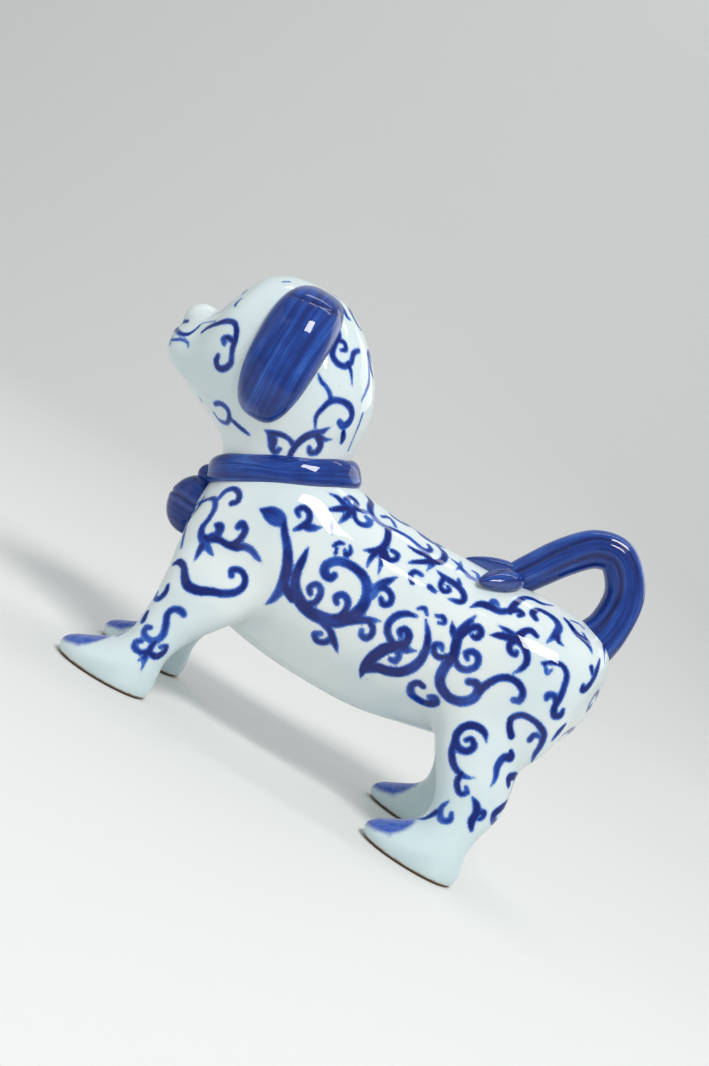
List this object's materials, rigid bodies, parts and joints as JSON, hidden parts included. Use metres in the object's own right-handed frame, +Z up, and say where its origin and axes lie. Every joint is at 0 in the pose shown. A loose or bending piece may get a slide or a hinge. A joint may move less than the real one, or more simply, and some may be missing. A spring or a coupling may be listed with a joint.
{
  "type": "standing dog figurine",
  "caption": "Hollow porcelain dog with collar, bell and looped tail, painted in underglaze blue; stands on four flat soles as an ornament.",
  "frame": {"origin": "on the floor under the soles, at the middle of the figure's length and width", "axes": "+Z up; the dog looks along -X, its tail is at +X; its left side is at -Y"},
  "size_m": [0.206, 0.094, 0.1604],
  "materials": {
    "white_glaze": "gloss",
    "blue_glaze": "gloss"
  },
  "bodies": {
    "root": {"trunk_shell": "white_glaze", "head_shell": "white_glaze", "front_left_leg": "white_glaze", "front_right_leg": "white_glaze", "rear_left_leg": "white_glaze", "rear_right_leg": "white_glaze", "nose": "white_glaze", "left_ear": "blue_glaze", "right_ear": "blue_glaze", "collar": "blue_glaze", "bell_hanger": "blue_glaze", "bell": "blue_glaze", "tail": "blue_glaze", "tail_leaf_left": "blue_glaze", "tail_leaf_middle": "blue_glaze", "tail_leaf_right": "blue_glaze"}
  },
  "joints": []
}
